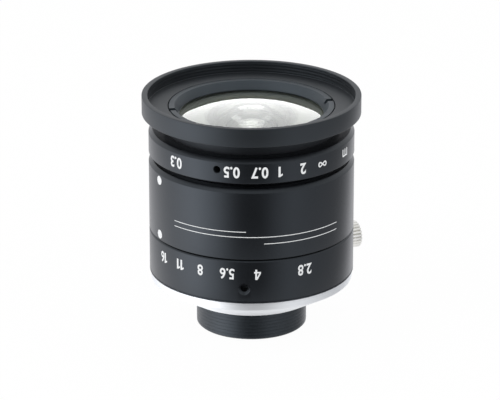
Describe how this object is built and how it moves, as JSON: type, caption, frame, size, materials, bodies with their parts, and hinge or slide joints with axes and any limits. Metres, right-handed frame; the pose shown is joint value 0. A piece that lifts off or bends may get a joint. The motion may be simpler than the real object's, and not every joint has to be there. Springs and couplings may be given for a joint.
{
  "type": "c-mount machine vision lens",
  "caption": "Fixed focal length machine vision lens with a threaded C-mount tube, turning focus and iris rings, thumb lock screws and a wide front hood with a filter thread.",
  "frame": {"origin": "on the optical axis, in the plane of the C-mount shoulder that meets the camera", "axes": "+Z along the optical axis out of the front glass; -Y is the side that shows the focus and iris scales"},
  "size_m": [0.0509, 0.05, 0.0553],
  "materials": {
    "black_anodised": "turned and black anodised, satin",
    "bright_nickel": "turned, plated bright, fine turning lines",
    "screw_steel": "bright plated steel",
    "blade_steel": "thin blackened spring steel",
    "optical_glass": "polished and coated optical glass"
  },
  "bodies": {
    "housing": {"mount_tube": "black_anodised", "base_ring": "bright_nickel", "mount_lock_ring": "black_anodised", "main_body": "black_anodised", "guide_screw": "screw_steel", "outer_sleeve": "black_anodised"},
    "focus": {"focus_ring": "black_anodised", "focus_ring_nut": "black_anodised"},
    "focus_screw": {"focus_lock_screw": "screw_steel"},
    "iris": {"iris_ring": "black_anodised", "iris_drive_pin": "screw_steel"},
    "iris_screw": {"iris_lock_screw": "screw_steel"},
    "barrel": {"lens_barrel": "black_anodised", "front_hood": "black_anodised", "front_retaining_ring": "black_anodised", "front_element": "optical_glass", "front_spacer": "black_anodised", "second_element": "optical_glass", "second_retaining_ring": "black_anodised", "second_spacer": "black_anodised", "third_element": "optical_glass", "third_spacer": "black_anodised", "fourth_element": "optical_glass", "iris_base_plate": "black_anodised", "rear_cell": "black_anodised", "fifth_element": "optical_glass", "rear_front_spacer": "black_anodised", "sixth_element": "optical_glass", "rear_back_spacer": "black_anodised", "rear_element": "optical_glass", "rear_retaining_ring": "black_anodised"},
    "cam": {"iris_cam_ring": "black_anodised"},
    "blade_1": {"iris_blade_1": "blade_steel"},
    "blade_2": {"iris_blade_2": "blade_steel"},
    "blade_3": {"iris_blade_3": "blade_steel"},
    "blade_4": {"iris_blade_4": "blade_steel"},
    "blade_5": {"iris_blade_5": "blade_steel"},
    "blade_6": {"iris_blade_6": "blade_steel"}
  },
  "joints": [
    {"name": "focus_turn", "type": "hinge", "parent": "housing", "child": "focus", "pos_m": [0, 0, 0.0377], "axis": [0, 0, 1], "range_deg": [-108.8, 0]},
    {"name": "barrel_slide", "type": "slide", "parent": "housing", "child": "barrel", "axis": [0, 0, 1], "range_m": [-0.00060444, 0]},
    {"name": "iris_turn", "type": "hinge", "parent": "housing", "child": "iris", "pos_m": [0, 0, 0.0116], "axis": [0, 0, 1], "range_deg": [-97, 0]},
    {"name": "cam_turn", "type": "hinge", "parent": "barrel", "child": "cam", "pos_m": [0, 0, 0.014], "axis": [0, 0, 1], "range_deg": [-97, 0]},
    {"name": "blade_1_swing", "type": "hinge", "parent": "barrel", "child": "blade_1", "pos_m": [0, -0.0062, 0.013], "axis": [0, 0, 1], "range_deg": [-36, 0]},
    {"name": "blade_2_swing", "type": "hinge", "parent": "barrel", "child": "blade_2", "pos_m": [0.00537, -0.0031, 0.013], "axis": [0, 0, 1], "range_deg": [-36, 0]},
    {"name": "blade_3_swing", "type": "hinge", "parent": "barrel", "child": "blade_3", "pos_m": [0.00537, 0.0031, 0.013], "axis": [0, 0, 1], "range_deg": [-36, 0]},
    {"name": "blade_4_swing", "type": "hinge", "parent": "barrel", "child": "blade_4", "pos_m": [0, 0.0062, 0.013], "axis": [0, 0, 1], "range_deg": [-36, 0]},
    {"name": "blade_5_swing", "type": "hinge", "parent": "barrel", "child": "blade_5", "pos_m": [-0.00537, 0.0031, 0.013], "axis": [0, 0, 1], "range_deg": [-36, 0]},
    {"name": "blade_6_swing", "type": "hinge", "parent": "barrel", "child": "blade_6", "pos_m": [-0.00537, -0.0031, 0.013], "axis": [0, 0, 1], "range_deg": [-36, 0]},
    {"name": "iris_screw_turn", "type": "hinge", "parent": "iris", "child": "iris_screw", "pos_m": [0.02249, 0.01092, 0.00985], "axis": [0.8996, 0.4368, 0], "range_deg": [-90, 270]},
    {"name": "focus_screw_turn", "type": "hinge", "parent": "focus", "child": "focus_screw", "pos_m": [-0.01634, 0.01892, 0.038], "axis": [-0.6534, 0.757, 0], "range_deg": [-90, 270]}
  ],
  "couplings": [
    {"joint": "focus_turn", "follows": "barrel_slide", "rad_per_m": 3141.6},
    {"joint": "cam_turn", "follows": "iris_turn", "ratio": 1},
    {"joint": "blade_1_swing", "follows": "iris_turn", "ratio": 0.37113},
    {"joint": "blade_2_swing", "follows": "iris_turn", "ratio": 0.37113},
    {"joint": "blade_3_swing", "follows": "iris_turn", "ratio": 0.37113},
    {"joint": "blade_4_swing", "follows": "iris_turn", "ratio": 0.37113},
    {"joint": "blade_5_swing", "follows": "iris_turn", "ratio": 0.37113},
    {"joint": "blade_6_swing", "follows": "iris_turn", "ratio": 0.37113}
  ]
}
